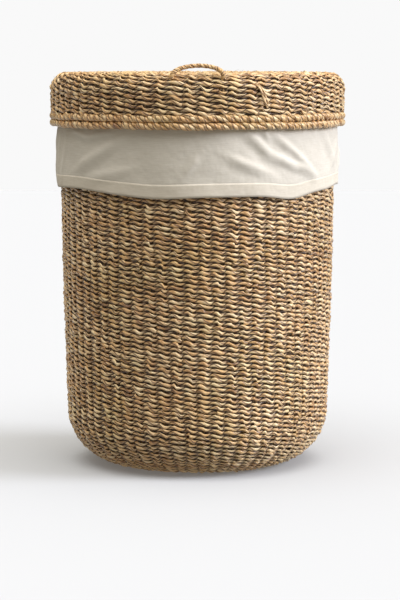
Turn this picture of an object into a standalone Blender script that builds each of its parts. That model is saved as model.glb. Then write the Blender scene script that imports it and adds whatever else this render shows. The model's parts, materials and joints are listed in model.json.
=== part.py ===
"""Woven seagrass laundry hamper with a lift-out cotton liner and a deep cap lid.

Metres, +Z up. The origin is the centre of the underside. The front, where the lid has its
rope loop, faces -Y. The basket and the lid are each a plain weave: a strand wound in a spiral
round radiating rods. The strand is modelled as two skins, and the rods run in the slot between.
"""
import math

import bmesh
import bpy
import numpy as np
from mathutils import Vector

# Basket
BODY_HEIGHT = 0.5191  # floor to the top of the rim border
BASE_RADIUS = 0.1758  # the wall's outer radius, carried down to the floor
RIM_RADIUS = 0.1870  # the wall's outer radius at the rim
WALL_BULGE = 0.0029  # how far the wall bows out at mid height
CORNER_RADIUS = 0.070  # round corner between the wall and the base
WEAVE_SKIN = 0.0022  # strand on each side of the rods
CORE_RADIUS = 0.016  # tight start of the spiral at each centre
BORDER_HEIGHT = 0.016  # rope border on top of the wall
BORDER_PROUD = 0.0005  # how far it stands past each side of the wall
BORDER_ROUND = 0.0042  # its rounded top edges

# Rods
ROD_DIAMETER = 0.0024
ROD_SLACK = 0.0006  # slot to rod, on each side
LONG_RODS = 21  # these start at the centre, and two side rods are set in between each pair
SIDE_RODS_EACH = 2
SIDE_ROD_START = 0.068  # radius where the side rods are set in
HOOP_DIAMETER = 0.0030  # the hoop that keeps each mouth round
SLOT_END = 0.0030  # weave beyond the closed end of the slot

# Liner
CLOTH = 0.0008
LINER_BASE_RADIUS = 0.0995
CUFF_BOTTOM = 0.374  # height of the turned-down cuff's lower edge
HEM_HEIGHT = 0.018
SEAM_WIDTH = 0.008
SEAM_THICKNESS = 0.0012

# Lid
LID_CLEARANCE = 0.0023  # cuff to lid, all round
LID_DEPTH = 0.072  # top to lower edge
SHOULDER_RADIUS = 0.022
LID_BORDER_HEIGHT = 0.0092  # each of the two rope rows at the lower edge
LID_BORDER_PROUD = 0.0007
LID_BORDER_ROUND = 0.0030

# Rope loop on the lid's front shoulder
LOOP_DIAMETER = 0.0050
LOOP_RISE = 0.0140  # apex above the feet, centre line to centre line
LOOP_LEAN = 0.0035  # how far the apex lies behind the feet
LOOP_SQUARENESS = 2.2  # 2 is an ellipse, and more is a squarer arch
FOOT_LIFT = 0.0004  # the round foot's gap to the weave
FOOT_TURN = math.radians(45)  # where on the shoulder the feet stand
FOOT_RODS = 1.72  # rod spaces from the front centre to each foot, just past the second rod
TAIL_DIAMETER = 0.0026
TAIL_LENGTH = 0.018  # tucked straight down beside the rods, below the shoulder
TAIL_HOLE_RADIUS = 0.0030

GAP = 0.0003  # between pieces that touch
STEPS = 42  # facets round every turned piece
WALL_ROWS = 3
CORNER_ROWS = 4
SHOULDER_ROWS = 4  # even, so that a row passes through the feet
LOOP_POINTS = 23

SLOT = ROD_DIAMETER + 2 * ROD_SLACK
WALL = 2 * WEAVE_SKIN + SLOT
ROD_DEPTH = WALL / 2
ROD_COUNT = LONG_RODS * (1 + SIDE_RODS_EACH)
ROD_PITCH = 2 * math.pi / ROD_COUNT
FRONT = -math.pi / 2
FACET_MIDDLE = math.cos(math.pi / STEPS)  # a facet's middle lies nearer the axis than its ends
ROW_MIDDLE = math.cos(math.pi / 4 / SHOULDER_ROWS)  # and a shoulder row's middle nearer its centre
WALL_TOP = BODY_HEIGHT - BORDER_HEIGHT - GAP
BAG_DEPTH = WALL + BORDER_PROUD + GAP


# Outlines, as (radius, height) points

def wall_radius(z):
    """The bowed wall's outer radius at a height."""
    share = z / BODY_HEIGHT
    return BASE_RADIUS + (RIM_RADIUS - BASE_RADIUS) * share + 4 * WALL_BULGE * share * (1 - share)


CORNER_END = wall_radius(0) - CORNER_RADIUS  # where the flat underside begins


def body_path(depth, top):
    """The basket's outline sunk into the wall by depth: down from top, and round the corner."""
    points = [(wall_radius(z) - depth, z) for z in np.linspace(top, CORNER_RADIUS, WALL_ROWS)]
    for turn in np.linspace(0, math.pi / 2, CORNER_ROWS + 1)[1:]:
        z = CORNER_RADIUS * (1 - math.sin(turn))
        radius = wall_radius(z) - CORNER_RADIUS * (1 - math.cos(turn))
        points.append((radius - depth * math.cos(turn), z + depth * math.sin(turn)))
    return points


def arc(centre, radius, start, end, rows):
    """Points on an arc, with angles counted from the outward direction, up being positive."""
    return [
        (centre[0] + radius * math.cos(turn), centre[1] + radius * math.sin(turn))
        for turn in np.linspace(start, end, rows + 1)
    ]


def rounded_ring(inner, outer, bottom, top, round_top, round_bottom, rows=2):
    """A ring's section with rounded edges, down its outer side first."""
    quarter = math.pi / 2
    points = arc((outer - round_top, top - round_top), round_top, quarter, 0, rows)
    if round_bottom > 0:
        points += arc((outer - round_bottom, bottom + round_bottom), round_bottom, 0, -quarter, rows)
        points += arc(
            (inner + round_bottom, bottom + round_bottom), round_bottom, -quarter, -2 * quarter, rows
        )
    else:
        points += [(outer, bottom), (inner, bottom)]
    points += arc((inner + round_top, top - round_top), round_top, 2 * quarter, quarter, rows)
    return points


# The hem is folded up behind the cuff. It clears all that it passes as the liner is lifted out:
# the wall above it, and the rim border.
HEM_TOP = CUFF_BOTTOM + HEM_HEIGHT
BORDER_INNER = RIM_RADIUS - WALL - BORDER_PROUD
BORDER_OUTER = RIM_RADIUS + BORDER_PROUD
WIDEST_PASSED = max(wall_radius(z) for z in np.linspace(CUFF_BOTTOM, WALL_TOP, 12))
CUFF_INNER = max(BORDER_OUTER, WIDEST_PASSED) + GAP + CLOTH + GAP
CUFF_OUTER = CUFF_INNER + CLOTH

# The lid rests with the inside of its shoulder on the liner's fold over the rim.
LID_INNER = CUFF_OUTER + LID_CLEARANCE
LID_RADIUS = LID_INNER + WALL
SHOULDER_CENTRE_R = LID_RADIUS - SHOULDER_RADIUS
FOLD_RADIUS = BORDER_ROUND + GAP + CLOTH
FOLD_CENTRE_R = CUFF_OUTER - FOLD_RADIUS
SEAT_REACH = (SHOULDER_RADIUS - WALL) * ROW_MIDDLE - FOLD_RADIUS - GAP
SEAT_RISE = math.sqrt(SEAT_REACH**2 - (FOLD_CENTRE_R - SHOULDER_CENTRE_R) ** 2)
SHOULDER_CENTRE_Z = BODY_HEIGHT - BORDER_ROUND - SEAT_RISE
LID_TOP = SHOULDER_CENTRE_Z + SHOULDER_RADIUS
LID_BOTTOM = LID_TOP - LID_DEPTH
UPPER_BORDER_BOTTOM = LID_BOTTOM + LID_BORDER_HEIGHT + GAP
SKIRT_BOTTOM = UPPER_BORDER_BOTTOM + LID_BORDER_HEIGHT + GAP


def lid_path(depth, bottom):
    """The lid's outline sunk into its weave by depth: out over the shoulder, and down the skirt."""
    centre = (SHOULDER_CENTRE_R, SHOULDER_CENTRE_Z)
    points = arc(centre, SHOULDER_RADIUS - depth, math.pi / 2, 0, SHOULDER_ROWS)
    return points + [(LID_RADIUS - depth, bottom)]


# Building

def start():
    """Clears the scene and makes the collections."""
    for item in list(bpy.data.objects):
        bpy.data.objects.remove(item)
    groups = []
    for name in ("laundry_hamper", "cutters"):
        group = bpy.data.collections.new(name)
        bpy.context.scene.collection.children.link(group)
        groups.append(group)
    return groups


PARTS, CUTTERS = start()


def material(name, colour, roughness, metallic=0.0):
    """A plain Principled material."""
    made = bpy.data.materials.new(name)
    made.use_nodes = True
    shader = made.node_tree.nodes["Principled BSDF"]
    shader.inputs["Base Color"].default_value = (*colour, 1.0)
    shader.inputs["Roughness"].default_value = roughness
    shader.inputs["Metallic"].default_value = metallic
    return made


SEAGRASS = material("seagrass_weave", (0.42, 0.29, 0.16), 0.75)
ROPE = material("seagrass_rope", (0.38, 0.26, 0.14), 0.75)
ROD = material("rattan_rod", (0.50, 0.36, 0.20), 0.6)
COTTON = material("cotton_cloth", (0.86, 0.83, 0.76), 0.9)


def empty(name):
    """An empty on a joint's axis, which carries the pieces that move."""
    item = bpy.data.objects.new(name, None)
    PARTS.objects.link(item)
    return item


def piece(name, data, finish, parent=None, group=PARTS):
    """One named object."""
    item = bpy.data.objects.new(name, data)
    if finish is not None:
        data.materials.append(finish)
    item.parent = parent
    group.objects.link(item)
    return item


def turned(name, points, finish, closed=True, parent=None, angle=2 * math.pi, steps=STEPS):
    """A (radius, height) outline turned about Z. An open outline starts and ends on the axis."""
    mesh = bpy.data.meshes.new(name)
    vertices = [(radius, 0, z) for radius, z in points]
    edges = [(i, i + 1) for i in range(len(points) - 1)]
    if closed:
        edges.append((len(points) - 1, 0))
    mesh.from_pydata(vertices, edges, [])
    item = piece(name, mesh, finish, parent)
    screw = item.modifiers.new("turn", "SCREW")
    screw.angle = angle
    screw.steps = steps
    screw.render_steps = steps
    screw.use_merge_vertices = True
    screw.merge_threshold = 0.00001
    screw.use_smooth_shade = True
    return item


def cloth_walls(item, thickness):
    """Gives a turned cloth surface its thickness, on the side away from its normals."""
    shell = item.modifiers.new("cloth", "SOLIDIFY")
    shell.thickness = thickness
    shell.offset = -1.0
    shell.use_even_offset = True


def slotted(path, end, slot_end, open_last):
    """The section of a weave: a skin on each side of a slot with one closed end.

    A path runs down the outer side, and open_last says that the slot's open end comes last on it.
    """
    outside, inside = path(0, end), path(WALL, end)[::-1]
    slot_outer, slot_inner = path(WEAVE_SKIN, slot_end)[::-1], path(WALL - WEAVE_SKIN, slot_end)
    if open_last:
        return outside + slot_outer + slot_inner + inside
    return outside + inside + slot_inner + slot_outer


def woven_disc(name, radius, top, parent=None):
    """The flat round centre of a weave, with the slot for the rods open at its edge."""
    slot_top = top - WEAVE_SKIN
    slot_bottom = slot_top - SLOT
    points = [
        (0, top),
        (radius, top),
        (radius, slot_top),
        (CORE_RADIUS, slot_top),
        (CORE_RADIUS, slot_bottom),
        (radius, slot_bottom),
        (radius, top - WALL),
        (0, top - WALL),
    ]
    return turned(name, points, SEAGRASS, closed=False, parent=parent)


def around(radius, angle, z):
    """A point from its radius, its angle about Z and its height."""
    return Vector((radius * math.cos(angle), radius * math.sin(angle), z))


def tubes(name, routes, diameter, finish, sides_level, parent=None, location=(0, 0, 0)):
    """Tubes along routes of (point, share of the diameter), one closed body for each route."""
    curve = bpy.data.curves.new(name, "CURVE")
    curve.dimensions = "3D"
    curve.bevel_depth = diameter / 2
    curve.bevel_resolution = sides_level
    curve.use_fill_caps = True
    origin = Vector(location)
    for route in routes:
        spline = curve.splines.new("POLY")
        spline.points.add(len(route) - 1)
        for target, (point, share) in zip(spline.points, route):
            target.co = (*(point - origin), 1.0)
            target.radius = share
    item = piece(name, curve, finish, parent)
    item.location = location
    return item


def rod_route(outline, start_radius, place):
    """A rod's route at one place in the weave: out from start_radius, and on along an outline."""
    angle = FRONT + (place + 0.5) * ROD_PITCH
    points = [(start_radius, outline[0][1])] + outline
    return [(around(radius * FACET_MIDDLE, angle, z), 1.0) for radius, z in points]


def as_cutter(item):
    """A mesh of a curve object, with its caps welded, kept out of the model for a Boolean."""
    evaluated = item.evaluated_get(bpy.context.evaluated_depsgraph_get())
    mesh = bpy.data.meshes.new_from_object(evaluated)
    shape = bmesh.new()
    shape.from_mesh(mesh)
    bmesh.ops.remove_doubles(shape, verts=shape.verts, dist=0.00001)
    bmesh.ops.recalc_face_normals(shape, faces=shape.faces)
    shape.to_mesh(mesh)
    shape.free()
    made = bpy.data.objects.new(item.name + "_solid", mesh)
    made.matrix_world = item.matrix_world
    made.hide_render = True
    made.display_type = "WIRE"
    CUTTERS.objects.link(made)
    bpy.data.objects.remove(item)
    return made


def framed_hoop(name, radius, z, routes, parent=None):
    """A hoop inside the slot, with the rods that are bound to it as one frame."""
    section = arc((radius, z), HOOP_DIAMETER / 2, 0, -2 * math.pi, 6)[:-1]
    item = turned(name, section, ROD, parent=parent)
    bound = as_cutter(tubes(name + "_rods", routes, ROD_DIAMETER, ROD, 0))
    join = item.modifiers.new("bind", "BOOLEAN")
    join.operation = "UNION"
    join.solver = "EXACT"
    join.object = bound
    return item


LONG_PLACES = [place for place in range(ROD_COUNT) if place % (1 + SIDE_RODS_EACH) == 0]
SIDE_PLACES = [place for place in range(ROD_COUNT) if place % (1 + SIDE_RODS_EACH) != 0]
ROD_START = CORE_RADIUS + ROD_DIAMETER / 2 + GAP


def make_basket():
    """The woven wall and base, their rods, and the hoop and border at the rim."""
    slot_top = WALL_TOP - SLOT_END
    turned("wall_weave", slotted(body_path, WALL_TOP, slot_top, open_last=True), SEAGRASS)
    woven_disc("base_weave", CORNER_END - GAP, WALL)

    hoop_z = slot_top - GAP - HOOP_DIAMETER / 2
    outline = body_path(ROD_DEPTH, hoop_z - HOOP_DIAMETER / 2 - GAP)[::-1]
    for count, place in enumerate(LONG_PLACES, 1):
        route = rod_route(outline, ROD_START, place)
        tubes(f"long_stake_{count:02d}", [route], ROD_DIAMETER, ROD, 0)
    bound = body_path(ROD_DEPTH, hoop_z)[::-1]
    routes = [rod_route(bound, SIDE_ROD_START, place) for place in SIDE_PLACES]
    framed_hoop("side_stakes_and_hoop", wall_radius(hoop_z) - ROD_DEPTH, hoop_z, routes)

    border = rounded_ring(
        BORDER_INNER, BORDER_OUTER, BODY_HEIGHT - BORDER_HEIGHT, BODY_HEIGHT, BORDER_ROUND, 0
    )
    turned("rim_border", border, ROPE)


def make_liner():
    """The cotton bag that hangs in the basket and folds down over the rim as a cuff."""
    lift = empty("liner_lift")

    over = BORDER_ROUND + GAP
    centre_z = BODY_HEIGHT - BORDER_ROUND
    quarter = math.pi / 2
    path = [(CUFF_INNER, CUFF_BOTTOM), (CUFF_INNER, HEM_TOP)]
    path += arc((CUFF_INNER - over, centre_z), over, 0, quarter, 3)
    path += arc((BORDER_INNER + BORDER_ROUND, centre_z), over, quarter, 2 * quarter, 3)
    path += body_path(BAG_DEPTH, WALL_TOP)
    path.append((LINER_BASE_RADIUS + GAP, BAG_DEPTH))
    tube = turned("liner_tube", path, COTTON, closed=False, parent=lift)
    cloth_walls(tube, CLOTH)

    bottom = [
        (0, BAG_DEPTH + CLOTH),
        (LINER_BASE_RADIUS, BAG_DEPTH + CLOTH),
        (LINER_BASE_RADIUS, BAG_DEPTH),
        (0, BAG_DEPTH),
    ]
    turned("liner_base", bottom, COTTON, closed=False, parent=lift)

    hem_outer = CUFF_INNER - GAP
    hem_inner = hem_outer - CLOTH
    hem = [
        (hem_outer, HEM_TOP),
        (hem_outer, CUFF_BOTTOM),
        (hem_inner, CUFF_BOTTOM),
        (hem_inner, HEM_TOP),
    ]
    turned("liner_hem", hem, COTTON, parent=lift)

    # The felled side seam runs down the inside of the bag at the back, flat on one facet.
    half = math.atan2(SEAM_WIDTH / 2, RIM_RADIUS)
    reach = FACET_MIDDLE / math.cos(half)
    heights = np.linspace(WALL_TOP, CORNER_RADIUS, WALL_ROWS)
    face = [((wall_radius(z) - BAG_DEPTH - CLOTH - GAP) * reach, z) for z in heights]
    seam = turned("liner_side_seam", face, COTTON, False, lift, 2 * half, 1)
    seam.rotation_euler.z = -FRONT - half
    cloth_walls(seam, SEAM_THICKNESS)


def shoulder_point(angle, turn, depth):
    """A point on the lid's shoulder: turn from level, and depth into the weave."""
    reach = SHOULDER_RADIUS - depth
    radius = SHOULDER_CENTRE_R + reach * math.cos(turn)
    return around(radius * FACET_MIDDLE, angle, SHOULDER_CENTRE_Z + reach * math.sin(turn))


def make_lid():
    """The woven cap, its rods, its hoop and its two rope rows, and the loop's tucked tails."""
    lift = empty("lid_lift")

    slot_bottom = SKIRT_BOTTOM + SLOT_END
    section = slotted(lid_path, SKIRT_BOTTOM, slot_bottom, open_last=False)
    skirt = turned("lid_skirt_weave", section, SEAGRASS, parent=lift)
    woven_disc("lid_top_weave", SHOULDER_CENTRE_R - GAP, LID_TOP, lift)

    hoop_z = slot_bottom + GAP + HOOP_DIAMETER / 2
    outline = lid_path(ROD_DEPTH, hoop_z)
    routes = [rod_route(outline, ROD_START, place) for place in LONG_PLACES]
    routes += [rod_route(outline, SIDE_ROD_START, place) for place in SIDE_PLACES]
    framed_hoop("lid_spokes_and_hoop", LID_RADIUS - ROD_DEPTH, hoop_z, routes, lift)

    inner = LID_INNER - LID_BORDER_PROUD
    outer = LID_RADIUS + LID_BORDER_PROUD
    for name, bottom in (("lid_border_lower", LID_BOTTOM), ("lid_border_upper", UPPER_BORDER_BOTTOM)):
        top = bottom + LID_BORDER_HEIGHT
        section = rounded_ring(inner, outer, bottom, top, LID_BORDER_ROUND, LID_BORDER_ROUND, 1)
        turned(name, section, ROPE, parent=lift)

    for side, label in ((-1, "left"), (1, "right")):
        angle = FRONT + side * FOOT_RODS * ROD_PITCH
        hole(skirt, "tail_hole_" + label, angle)
        tubes("handle_tail_" + label, [tail_route(angle)], TAIL_DIAMETER, ROPE, 1, lift)
    return lift


def hole(skirt, name, angle):
    """Cuts the hole in the outer skin where one end of the loop goes in."""
    outside = shoulder_point(angle, FOOT_TURN, -WEAVE_SKIN)
    inside = shoulder_point(angle, FOOT_TURN, ROD_DEPTH)
    shape = bmesh.new()
    bmesh.ops.create_cone(
        shape,
        cap_ends=True,
        segments=12,
        radius1=TAIL_HOLE_RADIUS,
        radius2=TAIL_HOLE_RADIUS,
        depth=(outside - inside).length,
    )
    mesh = bpy.data.meshes.new(name)
    shape.to_mesh(mesh)
    shape.free()
    cutter = piece(name, mesh, None, group=CUTTERS)
    cutter.location = (outside + inside) / 2
    cutter.rotation_mode = "QUATERNION"
    cutter.rotation_quaternion = Vector((0, 0, 1)).rotation_difference(outside - inside)
    cutter.hide_render = True
    cutter.display_type = "WIRE"
    cut = skirt.modifiers.new(name, "BOOLEAN")
    cut.operation = "DIFFERENCE"
    cut.solver = "EXACT"
    cut.object = cutter


def tail_route(angle):
    """A tail's route: in through the outer skin, then down beside the rods in the slot."""
    below = FOOT_TURN - math.pi / 2 / SHOULDER_ROWS
    under_hole = shoulder_point(angle, FOOT_TURN, ROD_DEPTH)
    bend = shoulder_point(angle, below, ROD_DEPTH)
    route = [shoulder_point(angle, FOOT_TURN, 2 * GAP), shoulder_point(angle, FOOT_TURN, WEAVE_SKIN)]
    route += [under_hole.lerp(bend, 0.4), bend, shoulder_point(angle, 0, ROD_DEPTH)]
    route.append(route[-1] - Vector((0, 0, TAIL_LENGTH)))
    return [(point, 1.0) for point in route]


def make_loop(lid_lift):
    """The rope loop. It turns about the line through the centres of its two round feet."""
    lift = LOOP_DIAMETER / 2 + FOOT_LIFT
    foot = shoulder_point(FRONT + FOOT_RODS * ROD_PITCH, FOOT_TURN, -lift)
    axis = (0, foot.y, foot.z)
    end_shares = (0.35, 0.8, 1.0)
    route = []
    for i, turn in enumerate(np.linspace(0, math.pi, LOOP_POINTS)):
        power = 2 / LOOP_SQUARENESS
        across = math.copysign(abs(math.cos(turn)) ** power, math.cos(turn))
        rise = math.sin(turn) ** power
        point = Vector((foot.x * across, foot.y + LOOP_LEAN * rise, foot.z + LOOP_RISE * rise))
        route.append((point, 1.0))
    # Each end goes down past the foot's centre, and narrows to a round tip there.
    tip = LOOP_DIAMETER / 2
    for end, step in ((0, 1), (-1, -1)):
        centre = route[end][0]
        tips = [
            (centre - Vector((0, 0, tip * reach)), share)
            for share, reach in zip(end_shares, (0.94, 0.6, 0.0))
        ]
        if step > 0:
            route = tips + route[1:]
        else:
            route = route[:-1] + tips[::-1]
    return tubes("handle_loop", [route], LOOP_DIAMETER, ROPE, 2, lid_lift, axis)


make_basket()
make_liner()
make_loop(make_lid())
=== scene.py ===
# %% [markdown]
# # A woven laundry hamper
#
# The hamper is three things that come apart: a basket, a cotton liner that folds down over its
# rim, and a deep cap lid with a small rope loop. The basket and the lid are hand woven from one
# twisted seagrass strand. This lesson models the weave for real, strand by strand, so that it has
# true gaps and shadows from every side, and it hangs the cloth on the rim. The strand's colour also
# has shade painted into it, darker deep in the gaps.

# %% The frame: the sized model that every piece is fitted to
import json
import math

import bpy
import numpy as np
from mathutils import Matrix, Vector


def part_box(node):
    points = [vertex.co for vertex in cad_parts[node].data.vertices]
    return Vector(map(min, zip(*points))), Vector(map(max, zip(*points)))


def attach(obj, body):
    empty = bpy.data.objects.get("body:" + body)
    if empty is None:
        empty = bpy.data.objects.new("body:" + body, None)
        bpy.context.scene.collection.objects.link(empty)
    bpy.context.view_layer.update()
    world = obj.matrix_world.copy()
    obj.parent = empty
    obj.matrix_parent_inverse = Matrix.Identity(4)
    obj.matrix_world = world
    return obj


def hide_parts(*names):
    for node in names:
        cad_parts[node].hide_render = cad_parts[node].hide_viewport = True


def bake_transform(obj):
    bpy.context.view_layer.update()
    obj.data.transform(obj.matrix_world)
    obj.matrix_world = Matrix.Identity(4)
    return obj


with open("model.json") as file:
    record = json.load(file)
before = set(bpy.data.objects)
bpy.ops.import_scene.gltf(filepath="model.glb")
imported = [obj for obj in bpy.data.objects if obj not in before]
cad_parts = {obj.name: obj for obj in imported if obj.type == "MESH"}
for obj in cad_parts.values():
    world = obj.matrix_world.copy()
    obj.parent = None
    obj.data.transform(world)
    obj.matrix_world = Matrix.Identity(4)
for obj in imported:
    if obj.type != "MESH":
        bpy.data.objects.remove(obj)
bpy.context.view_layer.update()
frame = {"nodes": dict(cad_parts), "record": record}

scene = bpy.context.scene
TURN = 2 * math.pi
FRONT = -math.pi / 2  # the loop's side
RIGHT_ANGLE = math.pi / 2
MM = 0.001

# %% [markdown]
# ## Sizes
#
# Heights and radii come from the frame's own boxes, so that the weave lands where the sized
# model says. Only what a box can't say, such as how round a corner is, is named here.

# %% Sizes read from the frame, and the few that a box can't say
CORNER_RADIUS = 70 * MM  # between the basket's wall and its base
WALL_BULGE = 2.9 * MM  # the wall bows out this much at mid height
BASE_RADIUS = 175.8 * MM  # the wall's radius carried down to the floor
SHOULDER_RADIUS = 22 * MM  # the lid's round upper edge
WALL_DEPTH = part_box("base_weave")[1][2]  # thickness of the weave
RIM_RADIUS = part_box("wall_weave")[1][0]
WALL_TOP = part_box("wall_weave")[1][2]
RIM_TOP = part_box("rim_border")[1][2]
LID_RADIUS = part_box("lid_skirt_weave")[1][0]
LID_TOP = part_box("lid_top_weave")[1][2]
SKIRT_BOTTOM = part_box("lid_skirt_weave")[0][2]
ROD_COUNT = 63  # an odd number, so that one spiral strand goes over each rod, then under it
LONG_RODS = 21
SIDE_ROD_START = 68 * MM
ROD_RADIUS = 1.2 * MM
print(f"lid {2 * LID_RADIUS:.3f} m across, top at {LID_TOP:.3f} m, rim at {RIM_TOP:.3f} m")

# %% [markdown]
# ## Camera, floor and light
#
# The hamper is seen from a little above its lid, with a long lens that keeps its sides almost
# parallel. A broad key light stands low on its right, and a broader, weaker one is nearly
# overhead. The rest comes from a pale room, so the left side goes darker and a soft shadow falls
# to the left. A sun lamp with a wide angle acts as a softbox far away: it lights the floor evenly,
# which a near lamp wouldn't.

# %% Camera
CAMERA_DISTANCE = 3.0
CAMERA_HEIGHT = 0.556
CAMERA_SIDE = 0.0034
PITCH = math.radians(6.39)  # looking down
LENS = 131.7

camera = bpy.data.objects.new("camera", bpy.data.cameras.new("camera"))
camera.data.lens = LENS
camera.location = (CAMERA_SIDE, -CAMERA_DISTANCE, CAMERA_HEIGHT)
camera.rotation_euler = (RIGHT_ANGLE - PITCH, 0, 0)
scene.collection.objects.link(camera)
scene.camera = camera


# %% Lights
def soft_sun(name, energy, width, colour, rotation):
    """A sun lamp as wide as `width` degrees, so that its shadows are soft."""
    lamp = bpy.data.lights.new(name, "SUN")
    lamp.energy, lamp.angle, lamp.color = energy, math.radians(width), colour
    item = bpy.data.objects.new(name, lamp)
    item.rotation_euler = rotation
    scene.collection.objects.link(item)


KEY_TURN = math.radians(80)  # from the front, towards the right
KEY_RISE = math.radians(23)
soft_sun("key_light", 2.95, 30, (1.0, 0.99, 1.0), (RIGHT_ANGLE - KEY_RISE, 0, KEY_TURN))
soft_sun("top_light", 1.5, 60, (1.0, 0.98, 0.94), (math.radians(16), 0, math.radians(10)))


# %% Node helpers
def maths(nodes, links, operation, a, b=0.0, clamp=False):
    """A Math node on two sockets or numbers, and its result."""
    node = nodes.new("ShaderNodeMath")
    node.operation = operation
    node.use_clamp = clamp
    for socket, value in zip(node.inputs, (a, b)):
        if isinstance(value, (int, float)):
            socket.default_value = value
        else:
            links.new(value, socket)
    return node.outputs[0]


def wire(links, node, values):
    """Fills a node's sockets by name: a socket is linked, and a number or colour is set."""
    for name, value in values.items():
        if isinstance(value, bpy.types.NodeSocket):
            links.new(value, node.inputs[name])
        else:
            node.inputs[name].default_value = value


def noise(nodes, links, vector, scale, detail=3.0, roughness=0.5):
    """A Noise texture on a vector, and its value."""
    node = nodes.new("ShaderNodeTexNoise")
    values = {"Vector": vector, "Scale": scale, "Detail": detail, "Roughness": roughness}
    wire(links, node, values)
    return node.outputs["Fac"]


def stretched(nodes, links, vector, scale):
    """A vector with each of its parts scaled."""
    node = nodes.new("ShaderNodeMapping")
    wire(links, node, {"Vector": vector, "Scale": scale})
    return node.outputs[0]


def bump(nodes, links, height, strength, distance, below=None):
    """A normal bent by a height, on top of another normal if one is given."""
    node = nodes.new("ShaderNodeBump")
    wire(links, node, {"Height": height, "Strength": strength, "Distance": distance})
    if below:
        links.new(below, node.inputs["Normal"])
    return node.outputs[0]


# %% [markdown]
# The room is a gradient on the world: dim at eye level, bright overhead, and a mid grey from
# below, which stands for light off the floor. What the camera itself sees behind the hamper is
# plain near-white paper.

# %% Room
world = bpy.data.worlds.new("studio")
world.use_nodes = True
nodes, links = world.node_tree.nodes, world.node_tree.links
direction = nodes.new("ShaderNodeSeparateXYZ")
links.new(nodes.new("ShaderNodeTexCoord").outputs["Generated"], direction.inputs[0])
height = direction.outputs["Z"]
above = maths(nodes, links, "POWER", maths(nodes, links, "MAXIMUM", height, 0.0), 2.5)
below = maths(nodes, links, "MULTIPLY", maths(nodes, links, "LESS_THAN", height, 0.0), 0.20)
strength = maths(nodes, links, "MULTIPLY", above, 1.70)
strength = maths(nodes, links, "ADD", maths(nodes, links, "ADD", strength, 0.10), below)
room = nodes["Background"]
wire(links, room, {"Color": (1.0, 0.91, 0.73, 1), "Strength": strength})
paper = nodes.new("ShaderNodeBackground")
wire(links, paper, {"Color": (0.947, 0.947, 0.947, 1)})
seen = nodes.new("ShaderNodeMixShader")
links.new(nodes.new("ShaderNodeLightPath").outputs["Is Camera Ray"], seen.inputs["Fac"])
links.new(room.outputs[0], seen.inputs[1])
links.new(paper.outputs[0], seen.inputs[2])
links.new(seen.outputs[0], nodes["World Output"].inputs["Surface"])
scene.world = world
scene.view_settings.view_transform = "Standard"


# %% [markdown]
# ## Mesh helpers
#
# Every surface here is a grid of points: rows along one parameter, columns along the other. One
# helper turns such an array into a mesh, closes it round when a side wraps, and can cap its ends.

# %% Grid mesh
def polar(radius, angle, height):
    """Points (..., 3) at a radius and an angle round the upright axis."""
    x, y = radius * np.cos(angle), radius * np.sin(angle)
    return np.stack(np.broadcast_arrays(x, y, height), axis=-1)


def grid_faces(rows, columns, wrap_rows=False, wrap_columns=False):
    """Quads between neighbouring points of a rows x columns grid, as an (n, 4) array."""
    i = np.arange(rows if wrap_rows else rows - 1)[:, None]
    j = np.arange(columns if wrap_columns else columns - 1)[None, :]
    k, m = (i + 1) % rows, (j + 1) % columns
    quads = [i * columns + j, k * columns + j, k * columns + m, i * columns + m]
    return np.stack(np.broadcast_arrays(*quads), axis=-1).reshape(-1, 4)


def mesh_piece(name, points, quads, caps, material):
    """An object at the origin from points (n, 3), quads (m, 4) and cap polygons, shaded smooth."""
    mesh = bpy.data.meshes.new(name)
    sizes = [4] * len(quads) + [len(cap) for cap in caps]
    corners = np.concatenate([quads.ravel()] + [np.asarray(cap) for cap in caps]).astype(np.int32)
    starts = np.concatenate([[0], np.cumsum(sizes)[:-1]]).astype(np.int32)
    mesh.vertices.add(len(points))
    mesh.vertices.foreach_set("co", np.ascontiguousarray(points, dtype=np.float32).ravel())
    mesh.loops.add(len(corners))
    mesh.loops.foreach_set("vertex_index", corners)
    mesh.polygons.add(len(sizes))
    mesh.polygons.foreach_set("loop_start", starts)
    mesh.update(calc_edges=True)
    mesh.validate()
    mesh.shade_smooth()
    mesh.materials.append(material)
    item = bpy.data.objects.new(name, mesh)
    scene.collection.objects.link(item)
    return item


def many_tubes(count, rings, sides):
    """Quads and end caps of many short tubes whose points follow one another."""
    size = rings * sides
    first = np.arange(count)[:, None, None] * size
    quads = (grid_faces(rings, sides, wrap_columns=True)[None] + first).reshape(-1, 4)
    end = np.arange(sides)
    caps = [cap + size * n for n in range(count) for cap in (end[::-1], end + size - sides)]
    return quads, caps


def point_value(item, name, values):
    """Stores one number for each vertex, which a material can read by name."""
    layer = item.data.attributes.new(name, "FLOAT", "POINT")
    layer.data.foreach_set("value", np.ascontiguousarray(values, dtype=np.float32))


def corner_map(item, name, uv):
    """Stores a UV map from an array with one (u, v) for each face corner."""
    layer = item.data.uv_layers.new(name=name)
    layer.data.foreach_set("uv", np.ascontiguousarray(uv, dtype=np.float32).ravel())


# %% [markdown]
# ## Seagrass
#
# Dried seagrass is twisted by hand into a strand. Its fibres run round it at a slant, and its
# colour wanders from straw to brown, and here and there to olive. The strand carries its own UV
# map, with metres along it and a share of the way round it, so the fibres follow every bend. A
# tone value, stored in the mesh, makes one stretch of strand paler than the next.

# %% Node helper
def new_material(name):
    """A material with its Principled shader, as (material, nodes, links, shader)."""
    made = bpy.data.materials.new(name)
    made.use_nodes = True
    nodes, links = made.node_tree.nodes, made.node_tree.links
    return made, nodes, links, nodes["Principled BSDF"]


def colour_ramp(nodes, stops):
    """A Color Ramp from (place, colour) stops."""
    ramp = nodes.new("ShaderNodeValToRGB")
    elements = ramp.color_ramp.elements
    for i, (place, colour) in enumerate(stops):
        element = elements[i] if i < 2 else elements.new(place)
        element.position = place
        element.color = (*colour, 1)
    return ramp


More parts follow.
